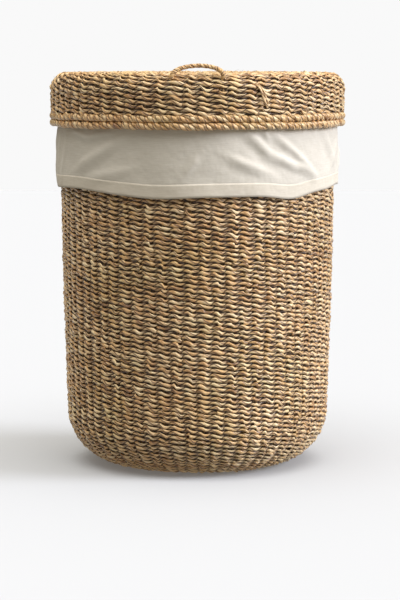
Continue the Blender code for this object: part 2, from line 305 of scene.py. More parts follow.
# %% Strand material
def strand_material(name, stops, fibres_round, lay):
    """Twisted plant fibre. The fibres are noise stretched along the strand and sheared by its lay.

    fibres_round is about how many fibres show round the strand, and lay is the length in metres in
    which one goes once round it. Colour = ramp(tone + fibre + patch) x painted shade by depth,
    which darkens points deep in the weave's gaps, x painted shade along the groove between the two
    plies.
    """
    made, nodes, links, shader = new_material(name)
    uv = nodes.new("ShaderNodeUVMap")
    uv.uv_map = "strand"
    split = nodes.new("ShaderNodeSeparateXYZ")
    links.new(uv.outputs["UV"], split.inputs[0])
    along, around = split.outputs["X"], split.outputs["Y"]
    twisted = maths(nodes, links, "ADD", around, maths(nodes, links, "DIVIDE", along, lay))
    join = nodes.new("ShaderNodeCombineXYZ")
    lengthways = maths(nodes, links, "MULTIPLY", along, 90.0)
    crossways = maths(nodes, links, "MULTIPLY", twisted, fibres_round)
    wire(links, join, {"X": lengthways, "Y": crossways})
    fibre = noise(nodes, links, join.outputs[0], 1.0, 4.0, 0.65)
    wave = maths(nodes, links, "SINE", maths(nodes, links, "MULTIPLY", twisted, TURN))
    groove = maths(nodes, links, "POWER", maths(nodes, links, "ABSOLUTE", wave), 0.45)

    place = nodes.new("ShaderNodeTexCoord").outputs["Object"]
    patch = noise(nodes, links, place, 9.0, 2.0)
    tone = nodes.new("ShaderNodeAttribute")
    tone.attribute_name = "tone"
    streak = maths(nodes, links, "MULTIPLY", fibre, 1.5)
    mixed = maths(nodes, links, "ADD", tone.outputs["Fac"], streak)
    mixed = maths(nodes, links, "ADD", mixed, maths(nodes, links, "MULTIPLY", patch, 0.3))
    mixed = maths(nodes, links, "SUBTRACT", mixed, 0.90, clamp=True)
    ramp = colour_ramp(nodes, stops)
    links.new(mixed, ramp.inputs[0])

    # Painted shade: the colour darkens to a deep brown where a point lies deep in the weave, in the
    # gaps between floats and on the inner side of a rope's plies.
    depth = nodes.new("ShaderNodeAttribute")
    depth.attribute_name = "depth"
    shade = colour_ramp(nodes, ((0.16, (0.08, 0.035, 0.012)), (0.62, (1.0, 1.0, 1.0))))
    links.new(depth.outputs["Fac"], shade.inputs[0])
    # Painted shade: a dark line along the groove between the two plies.
    line = colour_ramp(nodes, ((0.40, (0.20, 0.10, 0.04)), (0.80, (1.0, 1.0, 1.0))))
    links.new(groove, line.inputs[0])
    olive = colour_ramp(nodes, ((0.45, (1.0, 1.0, 1.0)), (0.72, (0.88, 0.89, 0.78))))
    links.new(noise(nodes, links, place, 14.0, 1.0), olive.inputs[0])
    colour = ramp.outputs[0]
    for layer in (shade, line, olive):
        darken = nodes.new("ShaderNodeMix")
        darken.data_type = "RGBA"
        darken.blend_type = "MULTIPLY"
        darken.inputs["Factor"].default_value = 1.0
        links.new(colour, darken.inputs["A"])
        links.new(layer.outputs[0], darken.inputs["B"])
        colour = darken.outputs["Result"]

    rough = maths(nodes, links, "ADD", maths(nodes, links, "MULTIPLY", fibre, 0.35), 0.28)
    relief = maths(nodes, links, "ADD", fibre, maths(nodes, links, "MULTIPLY", groove, 0.6))
    wire(links, shader, {"Base Color": colour, "Roughness": rough, "Specular IOR Level": 0.8})
    wire(links, shader, {"Coat Weight": 0.45, "Coat Roughness": 0.30})
    wire(links, shader, {"Normal": bump(nodes, links, relief, 1.0, 0.0008)})
    return made


STRAW_STOPS = (
    (0.0, (0.110, 0.042, 0.011)),
    (0.28, (0.360, 0.162, 0.046)),
    (0.60, (0.780, 0.475, 0.205)),
    (1.0, (1.000, 0.800, 0.520)),
)
seagrass = strand_material("seagrass_strand", STRAW_STOPS, fibres_round=8.0, lay=0.034)
seagrass_rope = strand_material("seagrass_rope", STRAW_STOPS, fibres_round=6.0, lay=-0.022)


# %% [markdown]
# ## Outlines
#
# The weave lies on a surface of revolution: flat in the middle, round a corner, then up or down a
# side. It is easiest to walk that outline by its length, because the strand's rows are evenly
# spaced along it. The outline is the weave's middle layer, where the rods run.

# %% Outline walked by length
class Outline:
    """A (radius, height) curve with outward normals, read at any distance along it."""

    def __init__(self, radius, height, outward):
        self.radius, self.height = np.asarray(radius), np.asarray(height)
        steps = np.hypot(np.diff(self.radius), np.diff(self.height))
        self.distance = np.concatenate([[0], np.cumsum(steps)])
        slope_r = np.gradient(self.radius, self.distance)
        slope_z = np.gradient(self.height, self.distance)
        length = np.hypot(slope_r, slope_z)
        self.normal_r, self.normal_z = outward * slope_z / length, -outward * slope_r / length

    def at(self, distance):
        """(radius, height, normal's radius part, normal's height part) at each distance."""
        parts = (self.radius, self.height, self.normal_r, self.normal_z)
        return [np.interp(distance, self.distance, part) for part in parts]

    def total(self):
        """The whole outline's length."""
        return self.distance[-1]


def wall_radius(z):
    """The bowed wall's outer radius: a straight taper plus a parabola that is 0 at both ends."""
    share = z / RIM_TOP
    taper = (RIM_RADIUS - BASE_RADIUS) * share
    return BASE_RADIUS + taper + 4 * WALL_BULGE * share * (1 - share)


def basket_outline(depth, top):
    """From the base's centre out, round the corner and up to top, sunk by depth."""
    flat = np.linspace(0, wall_radius(0) - CORNER_RADIUS, 40)[:-1]
    turn = np.linspace(RIGHT_ANGLE, 0, 60)
    corner_z = CORNER_RADIUS * (1 - np.sin(turn))
    corner_r = wall_radius(corner_z) - CORNER_RADIUS * (1 - np.cos(turn))
    up = np.linspace(CORNER_RADIUS, top, 160)[1:]
    radius = np.concatenate([flat, corner_r - depth * np.cos(turn), wall_radius(up) - depth])
    height = np.concatenate([np.full(len(flat), depth), corner_z + depth * np.sin(turn), up])
    return Outline(radius, height, outward=1)


def lid_outline(depth, bottom):
    """From the lid's centre out, over the shoulder and down to bottom, sunk by depth."""
    centre_r, centre_z = LID_RADIUS - SHOULDER_RADIUS, LID_TOP - SHOULDER_RADIUS
    flat = np.linspace(0, centre_r, 60)[:-1]
    turn = np.linspace(RIGHT_ANGLE, 0, 40)
    reach = SHOULDER_RADIUS - depth
    down = np.linspace(centre_z, bottom, 40)[1:]
    radius = [flat, centre_r + reach * np.cos(turn), np.full(len(down), LID_RADIUS - depth)]
    height = [np.full(len(flat), LID_TOP - depth), centre_z + reach * np.sin(turn), down]
    return Outline(np.concatenate(radius), np.concatenate(height), outward=-1)


basket_middle = basket_outline(WALL_DEPTH / 2, WALL_TOP)
lid_middle = lid_outline(WALL_DEPTH / 2, SKIRT_BOTTOM - 1.5 * MM)
print(f"outline lengths: basket {basket_middle.total():.3f} m, lid {lid_middle.total():.3f} m")


# %% [markdown]
# ## The woven strand
#
# One strand winds round and round, over one rod and under the next. With an odd number of rods it
# meets each rod from the other side on the next turn, so a single spiral makes the whole weave.
#
# The strand could be a curve with a round bevel, but a real one is soft: it is squeezed between
# its neighbours where it dives between two rods, and swells into a lens where it shows. So its
# section is an ellipse whose two half widths change along the way. Its middle line is
#
# - out of the surface: a squared-off cosine, highest over one rod and lowest under the next
# - across the rows: a small sine that tilts each float down to the right, as the twist makes it

# %% Strand along a spiral
FLOAT_HALF = 1.45 * MM  # half thickness of a float, out of the surface
OVER = ROD_RADIUS + FLOAT_HALF  # how far a float's middle stands off the rods
SECTION_SIDES = 8
STEPS_PER_ROD = 6
ROW = 3.1 * MM
PLY_SWELL = 0.24  # one ply shows fuller than the other, by this share of the section
BUNDLE = 0.23  # metres of strand that one bundle of seagrass makes, before the next is twisted in
random = np.random.default_rng(7)


def wander(angle, distance):
    """The weaver's hand: a slow drift of the rows, as a sum of long waves, from -1 to 1."""
    waves = np.sin(3 * angle + 31 * distance) + np.sin(5 * angle - 47 * distance + 1.7)
    return (waves + np.sin(2 * angle + 83 * distance + 0.6) + np.sin(9 * angle + 19 * distance)) / 4


def lean(angle, distance):
    """How far the rods lean sideways, in rod spaces: short waves that keep whole turns closed."""
    waves = np.sin(13 * angle + 23 * distance) + np.sin(29 * angle - 37 * distance + 1.1)
    return 0.055 * waves + 0.05 * np.sin(41 * angle + 61 * distance + 2.3)


def strand_points(outline, angle, distance, half_out, half_across, out, across, ply):
    """Section rings of a strand on an outline, as a (samples, sides, 3) array, and their depths.

    Each ring is an ellipse in the plane of the outline's normal and its up direction, centred on
    the outline's point moved out by `out` and across by `across`. It swells towards the angle
    `ply`, where the strand's fuller ply lies. A point's depth is 1 on the outermost crest and 0 in
    the middle of the weave. The strand's material paints shade by this depth, darkest towards 0.
    """
    radius, height, normal_r, normal_z = outline.at(distance)
    around = np.linspace(0, TURN, SECTION_SIDES, endpoint=False) + math.pi
    swell = 1 + PLY_SWELL * np.cos(around - ply[:, None])
    out_part = out[:, None] + half_out[:, None] * np.cos(around) * swell
    across_part = across[:, None] + half_across[:, None] * np.sin(around) * swell
    r = radius[:, None] + out_part * normal_r[:, None] - across_part * normal_z[:, None]
    z = height[:, None] + out_part * normal_z[:, None] + across_part * normal_r[:, None]
    z = np.maximum(z, 0)  # what the hamper stands on is pressed flat
    return polar(r, angle[:, None], z), np.abs(out_part) / (OVER + FLOAT_HALF)


def strip_map(row, column, segments, sides):
    """Corner coordinates that lay a tube out as even strips which fill the unit square.

    The tube is cut across into as many strips as makes them about square together, and strip k
    fills the height from k to k + 1 out of that many.
    """
    strips = max(1, round(math.sqrt(segments * 2.0 / sides)))
    per_strip = math.ceil(segments / strips)
    strip, step = row // per_strip, row % per_strip
    u = np.stack([step, step + 1, step + 1, step], axis=-1) / per_strip
    part = np.stack([column, column, column + 1, column + 1], axis=-1) / sides
    v = (strip[:, None] + 0.04 + 0.92 * part) / strips
    return np.stack([u, v], axis=-1).reshape(-1, 2)


def tube_piece(name, rings, along, tone, depth, material, closed=False):
    """A tube through rings (samples, sides, 3), with a UV map of metres along and share round."""
    samples, sides = rings.shape[:2]
    quads = grid_faces(samples, sides, wrap_rows=closed, wrap_columns=True)
    first = np.arange(sides)
    caps = [] if closed else [first[::-1], first + (samples - 1) * sides]
    item = mesh_piece(name, rings.reshape(-1, 3), quads, caps, material)
    point_value(item, "tone", np.repeat(tone, sides))
    point_value(item, "depth", np.asarray(depth).ravel())

    segments = samples if closed else samples - 1
    column = np.tile(np.arange(sides), segments)
    row = np.repeat(np.arange(segments), sides)
    length = np.append(along, 2 * along[-1] - along[-2])
    u = np.stack([length[row], length[row + 1], length[row + 1], length[row]], axis=-1)
    v = np.stack([column, column, column + 1, column + 1], axis=-1) / sides
    uv = np.stack([u, v], axis=-1).reshape(-1, 2)
    baked = strip_map(row, column, segments, sides)
    if caps:
        turn = np.arange(sides) * TURN / sides
        spot = 0.002 + 0.0015 * np.stack([np.cos(turn), np.sin(turn)], axis=-1)
        uv = np.concatenate([uv, spot, spot])
        baked = np.concatenate([baked, spot, spot])
    corner_map(item, "strand", uv)
    corner_map(item, "OFBake", baked)
    return item


def weave(name, outline, start, end, rods, phase):
    """The strand from one distance along an outline to another, over and under rods.

    phase is the angle of one rod. Along the strand, `place` counts rods, so a float's middle is
    at each whole number and its neighbours in the rows above and below are half a turn off.
    """
    turns = (end - start) / ROW
    place_start = math.ceil((FRONT - phase) / TURN * rods + start / ROW * rods) - 0.5
    place = place_start + np.arange(int(turns * rods) * STEPS_PER_ROD + 1) / STEPS_PER_ROD
    angle = phase + place * TURN / rods
    distance = start + (place - place_start) / rods * ROW

    # The wave is squarer than a cosine, because a float lies flat before it dives. The rows of
    # `own` are each float's own swell, height, shift across, tilt, tone and shift along, and these
    # fade out between floats.
    floats = np.round(place - place_start).astype(int)
    wave = np.cos(math.pi * place)
    wave = np.sign(wave) * np.abs(wave) ** 0.85
    own = random.normal(size=(6, floats.max() + 1)).clip(-2.2, 2.2)[:, floats]
    middle = np.abs(wave) ** 1.2
    swell = 1 + 0.17 * own[0] * middle
    half_out = (2.0 - 0.5 * middle) * MM * swell
    half_across = (1.4 + 1.05 * middle) * MM * (1 + 0.17 * own[0] * middle)
    out = 0.82 * OVER * wave * (1 + 0.2 * own[1] * middle)
    tilt = -1.05 * (1 + 0.5 * own[3] * middle)
    across = (tilt * np.sin(TURN * place) + 0.55 * own[2] * middle) * MM
    across += 1.2 * MM * wander(angle, distance)
    angle = angle + (lean(angle, distance) + 0.08 * own[5] * middle) * TURN / rods

    # The fuller ply crosses each float from its upper left to its lower right.
    past = np.sin(math.pi * (place - np.round(place)))
    ply = np.where(wave > 0, 0, math.pi) - 1.5 * past * np.where(wave > 0, 1, -1)

    radius = outline.at(distance)[0]
    along = np.concatenate([[0], np.cumsum(np.hypot(np.diff(angle) * radius[1:], np.diff(out)))])
    slow = np.sin(along * 9.7 + 2 * np.sin(along * 2.3))
    bundles = random.normal(size=int(along[-1] / BUNDLE) + 1).clip(-2, 2)
    bundle = bundles[(along / BUNDLE).astype(int)]
    tone = 0.74 + 0.07 * slow + 0.09 * bundle + 0.12 * own[4] * (0.4 + 0.6 * middle)
    rings, depth = strand_points(
        outline, angle, distance, half_out, half_across, out, across, ply
    )
    return tube_piece(name, rings, along, tone, depth, seagrass)


ROD_STEP = TURN / ROD_COUNT
ROD_PHASE = FRONT + ROD_STEP / 2
SPIRAL_START = 6 * MM


def woven_bands(label, start, end, count, body, node, rods=ROD_COUNT):
    """Several bands of one weave, each a piece of its own that rides on a body."""
    outline = lid_middle if body == "lid" else basket_middle
    edges = np.linspace(start, end, count + 1)
    for number, (low, high) in enumerate(zip(edges[:-1], edges[1:]), 1):
        item = weave(f"{label}_{number}", outline, low, high, rods, ROD_PHASE)
        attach(item, body)
        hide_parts(node)


flat_end = float(
    np.interp(SIDE_ROD_START, basket_middle.radius[:40], basket_middle.distance[:40])
)
base_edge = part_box("base_weave")[1][0]
shoulder_start = LID_RADIUS - SHOULDER_RADIUS
basket_end, lid_end = basket_middle.total(), lid_middle.total()
woven_bands("base_centre", SPIRAL_START, flat_end, 1, "basket", "base_weave", LONG_RODS)
woven_bands("base_outer", flat_end, base_edge, 1, "basket", "base_weave")
woven_bands("basket_wall", base_edge, basket_end, 7, "basket", "wall_weave")
woven_bands("lid_centre", SPIRAL_START, SIDE_ROD_START, 1, "lid", "lid_top_weave", LONG_RODS)
woven_bands("lid_top", SIDE_ROD_START, shoulder_start, 2, "lid", "lid_top_weave")
woven_bands("lid_skirt", shoulder_start, lid_end, 1, "lid", "lid_skirt_weave")
meshes = [item.data for item in scene.objects if item.type == "MESH"]
print("weave:", sum(len(m.polygons) for m in meshes if "tone" in m.attributes), "faces")


# %% [markdown]
# ## Rope borders
#
# Both mouths are finished with thicker rope: two or three plies that wind round a middle line.
# Soft plies press each other flat, so each is a tube whose section is wider than it is deep, and
# that section turns with the ply.

# %% Rope
def unit(vectors):
    """Vectors (n, 3) scaled to length 1."""
    return vectors / np.linalg.norm(vectors, axis=1, keepdims=True)


def rope_ply(path, side, up, turns, share, offset, half_deep, half_wide, closed, sides=10):
    """Rings of one ply of a rope, and each point's depth.

    The ply's middle turns round the path: at a share of the way along, its angle is turns times
    that share plus the ply's own share of a full turn. half_deep points away from the rope's
    middle, and half_wide lies across it.
    """
    count = len(path)
    travel = np.arange(count) / (count if closed else count - 1)
    angle = TURN * (turns * travel + share)
    away = np.cos(angle)[:, None] * side + np.sin(angle)[:, None] * up
    middle = path + np.asarray(offset).reshape(-1, 1) * away
    if closed:
        tangent = unit(np.roll(middle, -1, axis=0) - np.roll(middle, 1, axis=0))
    else:
        tangent = unit(np.gradient(middle, axis=0))
    away = unit(away - (away * tangent).sum(axis=1, keepdims=True) * tangent)
    wide = np.cross(tangent, away)
    around = np.linspace(0, TURN, sides, endpoint=False) + math.pi
    deep_part = np.asarray(half_deep).reshape(-1, 1, 1) * np.cos(around)[None, :, None]
    wide_part = np.asarray(half_wide).reshape(-1, 1, 1) * np.sin(around)[None, :, None]
    rings = middle[:, None, :] + deep_part * away[:, None, :] + wide_part * wide[:, None, :]
    # Painted shade: the side of the ply that faces the rope's middle gets a low depth, which the
    # material paints darker.
    depth = np.broadcast_to(0.62 + 0.38 * np.cos(around), (count, sides))
    return rings, depth


def ring_rope(node, width, plies, lay, body, press=0.6 * MM, samples_per_lay=16):
    """A rope ring that fills a CAD ring's section: its box gives the radius and the height.

    width is the rope's across the ring, lay is the length of one turn, and press is how far the
    rope bulges past the box above and below, because rows press on each other.
    """
    low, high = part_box(node)
    middle_r, middle_z = high[0] - width / 2, (low[2] + high[2]) / 2
    half_height = (high[2] - low[2]) / 2 + press
    turns = round(TURN * middle_r / lay)
    count = turns * samples_per_lay
    angle = np.linspace(0, TURN, count, endpoint=False)
    side = polar(1, angle, 0)
    up = np.tile([0.0, 0.0, 1.0], (count, 1))
    drift = press * (0.7 * np.sin(7 * angle + middle_z * 900) + 0.5 * np.sin(17 * angle))
    path = middle_r * side + (middle_z + drift)[:, None] * up
    patches = np.arange(count) * 2 // samples_per_lay  # a new tone every half turn
    for ply in range(plies):
        wobble = 1 + 0.09 * np.sin(angle * 19 + 2.1 * ply) + 0.07 * np.sin(angle * 37 + ply)
        slack = 0.07 * np.sin(11 * angle + middle_z * 500) + 0.05 * np.sin(23 * angle + ply)
        half_deep, half_wide = 0.50 * half_height * wobble, 0.56 * half_height * wobble
        rings, depth = rope_ply(
            path, side, up, -turns, ply / plies + slack, 0.50 * half_height, half_deep, half_wide,
            closed=True,
        )
        tone = 0.72 + 0.08 * np.sin(9 * angle + 2 * ply) + 0.08 * np.sin(31 * angle + ply)
        tone += 0.10 * random.normal(size=turns * 2).clip(-2, 2)[patches]
        name = f"{node}_ply_{ply + 1}"
        along = angle * middle_r
        item = tube_piece(name, rings, along, tone, depth, seagrass_rope, closed=True)
        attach(item, body)
        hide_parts(node)


LID_ROPE, RIM_ROPE = 9.4 * MM, 9.0 * MM
CLEAR_OF_CLOTH = -2.3 * MM  # the rim's rope is thinner than its box, to stay under the liner's fold
ring_rope("lid_border_lower", LID_ROPE, 3, 34 * MM, "lid")
ring_rope("lid_border_upper", LID_ROPE, 3, 32 * MM, "lid")
ring_rope("rim_border", RIM_ROPE, 2, 36 * MM, "basket", press=CLEAR_OF_CLOTH)

# %% [markdown]
# ## The loop
#
# A short two-ply rope stands on the lid's front shoulder, leaning back a little, and its ends dive
# between the rods.

# %% Loop
loop_low, loop_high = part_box("handle_loop")
LOOP_RADIUS = 2.5 * MM
LOOP_SAMPLES = 120
arch = np.linspace(0, math.pi, LOOP_SAMPLES)
half_span = (loop_high[0] - loop_low[0]) / 2 - LOOP_RADIUS
foot_y, foot_z = loop_low[1] + LOOP_RADIUS, loop_low[2] + LOOP_RADIUS
apex_z = loop_high[2] - LOOP_RADIUS
lean_back = loop_high[1] - loop_low[1] - 2 * LOOP_RADIUS
lift = np.sin(arch) ** 0.92
sunk = (1 - lift) ** 5  # the ends go down into the weave
loop_path = np.stack(
    [
        2.0 * MM * lift - half_span * np.cos(arch),
        foot_y + lean_back * lift + 2.5 * MM * sunk,
        foot_z + (apex_z - foot_z) * lift - 3.0 * MM * sunk,
    ],
    axis=-1,
)
loop_tangent = unit(np.gradient(loop_path, axis=0))
loop_side = unit(np.cross(loop_tangent, np.tile([0.0, 1.0, 0.0], (LOOP_SAMPLES, 1))))
loop_up = np.cross(loop_tangent, loop_side)
loop_length = np.concatenate([[0], np.cumsum(np.linalg.norm(np.diff(loop_path, axis=0), axis=1))])
thick = 1.08 + 0.12 * np.cos(arch) ** 2
for ply in range(2):
    rings, depth = rope_ply(
        loop_path, loop_side, loop_up, 6.0, ply / 2, 1.25 * MM * thick, 1.45 * MM * thick,
        2.05 * MM * thick, closed=False,
    )
    tone = 0.62 + 0.05 * np.sin(120 * loop_length + ply)
    item = tube_piece(f"loop_ply_{ply + 1}", rings, loop_length, tone, depth, seagrass_rope)
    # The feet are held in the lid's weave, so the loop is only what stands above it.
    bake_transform(item)
    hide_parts("handle_loop")
print(f"loop: {loop_length[-1] / MM:.0f} mm of rope above the lid")


# %% [markdown]
# ## Rods
#
# The rods and hoops are already the right shape, so they stay, and only get a peeled rattan
# finish: long pale grain on their own coordinates. The loop's tails inside the lid stay too, in
# seagrass brown.

# %% Rods and tails
def grained_material(name, dark, pale):
    """Fine noise stretched upwards, between two shades."""
    made, nodes, links, shader = new_material(name)
    place = nodes.new("ShaderNodeTexCoord").outputs["Object"]
    grain = noise(nodes, links, stretched(nodes, links, place, (900, 900, 60)), 1.0)
    ramp = colour_ramp(nodes, ((0.3, dark), (0.75, pale)))
    links.new(grain, ramp.inputs[0])
    rough = maths(nodes, links, "ADD", maths(nodes, links, "MULTIPLY", grain, 0.3), 0.4)
    wire(links, shader, {"Base Color": ramp.outputs[0], "Roughness": rough})
    return made


rattan = grained_material("peeled_rattan", (0.20, 0.125, 0.065), (0.44, 0.31, 0.17))
seagrass_core = grained_material("seagrass_tail", (0.24, 0.15, 0.07), (0.55, 0.38, 0.20))
subparts = frame["record"]["subparts"]
rods = {part["node"] for part in subparts if part["material_slot"] == "rod_frame"}
for name, node in frame["nodes"].items():
    if name in rods or name.startswith("handle_tail"):
        node.data.materials.clear()
        node.data.materials.append(rattan if name in rods else seagrass_core)
print(len(rods), "rod and hoop nodes")


# %% [markdown]
# ## Cotton liner
#
# The liner is one bag of thin cotton. It comes up inside, folds over the rim and hangs down
# outside as a cuff with a stitched hem.

# %% Cotton material
THREADS = 1800  # to the metre


def cotton_material(name, warm):
    """Unbleached plain-weave cotton: two crossed thread waves, slubs, and soft rumples below."""
    made, nodes, links, shader = new_material(name)
    uv = nodes.new("ShaderNodeUVMap")
    uv.uv_map = "cloth"
    split = nodes.new("ShaderNodeSeparateXYZ")
    links.new(uv.outputs["UV"], split.inputs[0])
    threads = THREADS * TURN / 2
    warp = maths(nodes, links, "SINE", maths(nodes, links, "MULTIPLY", split.outputs["X"], threads))
    weft = maths(nodes, links, "SINE", maths(nodes, links, "MULTIPLY", split.outputs["Y"], threads))
    cross = maths(nodes, links, "MULTIPLY", warp, weft)
    slub = noise(nodes, links, stretched(nodes, links, uv.outputs["UV"], (60, 900, 1)), 1.0)
    shade = maths(nodes, links, "ADD", maths(nodes, links, "MULTIPLY", cross, 0.10), slub)
    low = (0.73, 0.70 - warm, 0.655 - 2.5 * warm)
    high = (0.83, 0.81 - warm, 0.78 - 2.5 * warm)
    ramp = colour_ramp(nodes, ((0.25, low), (0.75, high)))
    links.new(shade, ramp.inputs[0])
    place = nodes.new("ShaderNodeTexCoord").outputs["Object"]
    rumple = bump(nodes, links, noise(nodes, links, place, 26.0), 0.35, 0.008)
    normal = bump(nodes, links, shade, 0.35, 0.0002, below=rumple)
    wire(links, shader, {"Base Color": ramp.outputs[0], "Normal": normal})
    wire(links, shader, {"Roughness": 0.92, "Sheen Weight": 0.15})
    return made


cotton = cotton_material("cotton_cloth", 0.0)
cotton_hem = cotton_material("cotton_hem", 0.018)

# %% [markdown]
# The cuff is what shows. It hangs from the rim with a little more cloth than the basket's girth,
# so it creases. Each crease is a low hump along a line, with a shallow trough beside it, and fades
# out at both ends. Near the right of the front the cloth is caught up in a tuck under the lid, and
# creases fan out from there. The lower edge rises and falls where the cloth is pulled.

# %% Cuff creases
CLOTH = 0.8 * MM
CUFF_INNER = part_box("liner_tube")[1][0] - CLOTH
CUFF_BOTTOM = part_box("liner_hem")[0][2]
lid_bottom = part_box("lid_border_lower")[0][2]

# Each crease: start and end as (degrees right of the front, mm below the lid), then its width and
# its rise in mm.
CREASES = [
    ((20, 4), (30, 32), 5.5, 3.4),
    ((30, 32), (51, 58), 5.5, 4.2),
    ((32, 8), (52, 55), 5.0, 4.4),
    ((37, 24), (46, 45), 6.0, -2.2),
    ((27, 0), (29, 14), 3.0, 2.0),
    ((12, 34), (29, 57), 5.5, 2.6),
    ((1, 34), (-5, 60), 5.0, 1.8),
    ((-60, 2), (-49, 11), 4.0, 2.6),
    ((-49, 11), (-35, 3), 4.0, 2.4),
    ((-56, 52), (-32, 15), 6.5, 2.6),
    ((-47, 64), (-25, 50), 6.0, 1.6),
    ((-84, 4), (-86, 70), 4.0, 2.6),
    ((-74, 6), (-77, 66), 3.6, 2.0),
    ((-66, 14), (-70, 60), 4.5, 1.6),
    ((62, 6), (74, 50), 6.0, 2.0),
    ((80, 20), (66, 62), 6.0, 1.6),
]


def crease(arc, height, start, end, width, rise):
    """One crease's rise over the cloth: rise x (a hump across its line, steep above and gentle
    below, less a shallow trough under it)."""
    ends = [
        (CUFF_INNER * math.radians(turn), lid_bottom - drop * MM) for turn, drop in (start, end)
    ]
    run = np.subtract(ends[1], ends[0])
    length = math.hypot(*run)
    along = ((arc - ends[0][0]) * run[0] + (height - ends[0][1]) * run[1]) / length**2
    side = ((height - ends[0][1]) * run[0] - (arc - ends[0][0]) * run[1]) / length / (width * MM)
    over = np.maximum(np.abs(along - 0.5) - 0.5, 0) * length / (2.5 * width * MM)
    taper = np.clip(along * 4, 0, 1) * np.clip(4 - along * 4, 0, 1)
    fade = np.exp(-(over**2)) * (0.35 + 0.65 * taper)
    hump = np.exp(-((side / np.where(side > 0, 0.75, 1.5)) ** 2))
    hump = hump - 0.25 * np.exp(-(((side + 2.4) / 1.2) ** 2))
    return rise * MM * hump * fade


def random_creases(count, low, high):
    """Soft creases for the sides that hang free, from a seeded generator."""
    made = []
    for _ in range(count):
        turn, drop = random.uniform(low, high), random.uniform(2, 40)
        lean_by = random.uniform(-22, 22)
        end = (turn + lean_by, drop + random.uniform(25, 45))
        made.append(((turn, drop), end, random.uniform(4, 7), random.uniform(1.2, 3.2)))
    return made


CREASES += random_creases(26, 88, 265)
print(len(CREASES), "creases in the cuff")

# %% [markdown]
# The whole bag is one grid: columns round the basket, and rows along the cloth from the cuff's
# edge, over the rim and down the wall to the base's seam. Its outline is worked out first, then
# the creases push it out along its radius. A cloth simulation would give sharper folds, but would
# take minutes on each run.

# %% Liner outline
FOLD = 4.5 * MM  # radius of the cloth's turn over each edge of the rim
COLUMNS = 400
CUFF_ROWS, BAG_ROWS = 58, 40


def liner_outline():
    """The cloth's path: up the cuff, over the rim, down the wall and round the corner."""
    turn = np.linspace(0, RIGHT_ANGLE, 6)
    centre_z = RIM_TOP - 3.8 * MM
    inner_r = RIM_RADIUS - WALL_DEPTH - 0.5 * MM + 4.2 * MM
    inside = basket_outline(WALL_DEPTH + 0.8 * MM, WALL_TOP)
    drop = np.linspace(inside.total(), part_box("liner_base")[1][0] + 0.3 * MM, BAG_ROWS)
    bag_r, bag_z = inside.at(drop)[:2]
    radius = [np.full(CUFF_ROWS, CUFF_INNER), (CUFF_INNER - FOLD + FOLD * np.cos(turn))[1:]]
    height = [np.linspace(CUFF_BOTTOM, centre_z, CUFF_ROWS), (centre_z + FOLD * np.sin(turn))[1:]]
    radius += [inner_r - FOLD * np.sin(turn), bag_r]
    height += [centre_z + FOLD * np.cos(turn), bag_z]
    return np.concatenate(radius), np.concatenate(height)


cloth_r, cloth_z = liner_outline()
cloth_length = np.concatenate([[0], np.cumsum(np.hypot(np.diff(cloth_r), np.diff(cloth_z)))])
cloth_angle = FRONT - math.pi + np.arange(COLUMNS) * TURN / COLUMNS
from_front = cloth_angle - FRONT

# %% Cuff hang
# Where the lower edge rises or drops: (degrees right of the front, half width, mm up)
SWAGS = (
    (-58, 22, 6.5),
    (-95, 20, 4.0),
    (-16, 14, -2.8),
    (40, 9, -5.0),
    (56, 8, 1.0),
    (80, 20, 8.5),
    (150, 30, 3.0),
)
degrees = np.degrees(from_front)
edge_lift = sum(up * MM * np.exp(-(((degrees - at) / wide) ** 2)) for at, wide, up in SWAGS)
hang = np.clip((RIM_TOP - 4 * MM - cloth_z) / (RIM_TOP - 4 * MM - CUFF_BOTTOM), 0, 1)
hang[CUFF_ROWS:] = 0  # 0 at the rim and inside, 1 at the cuff's edge
grid_z = cloth_z[:, None] + hang[:, None] ** 2 * edge_lift
arc = np.broadcast_to(CUFF_INNER * from_front, (CUFF_ROWS, COLUMNS))
below_lid = np.clip((lid_bottom + 3 * MM - grid_z[:CUFF_ROWS]) / (9 * MM), 0, 1)
below_lid = below_lid * below_lid * (3 - 2 * below_lid)
push = sum(crease(arc, grid_z[:CUFF_ROWS], *each) for each in CREASES)
soft = 0.9 * np.sin(5 * from_front + 0.7)
soft = soft + 0.7 * np.sin(11 * from_front + 40 * cloth_z[:CUFF_ROWS, None])
push = push + (1.0 + soft) * MM * hang[:CUFF_ROWS, None]

# A row of stitches at the hem's top pulls the cloth into small puckers.
over_hem = (grid_z[:CUFF_ROWS] - CUFF_BOTTOM - edge_lift) / MM
stitch_row = np.exp(-(((over_hem - 18) / 1.6) ** 2))
pucker = np.sin(150 * from_front + 2 * np.sin(9 * from_front))
pucker = pucker * np.exp(-(((over_hem - 17) / 7) ** 2))
push += (0.15 * pucker - 0.15 * stitch_row) * MM

# On the left the hem stands off the wall.
flare = np.exp(-(((degrees + 88) / 16) ** 2)) * np.exp(-(((over_hem - 12) / 16) ** 2))
push += 2.2 * MM * flare
grid_r = np.repeat(cloth_r[:, None], COLUMNS, axis=1)
grid_r[:CUFF_ROWS] += np.maximum(push * below_lid, -0.2 * MM)

# The side seam is four layers felled flat, so it stands up as a narrow band.
seam_low, seam_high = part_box("liner_side_seam")
seam_turn = math.atan2((seam_low[1] + seam_high[1]) / 2, (seam_low[0] + seam_high[0]) / 2)
seam_off = np.abs(np.angle(np.exp(1j * (cloth_angle - seam_turn)))) * CUFF_INNER
grid_r[:CUFF_ROWS] += 0.8 * MM * np.clip((4.5 * MM - seam_off) / MM, 0, 1)

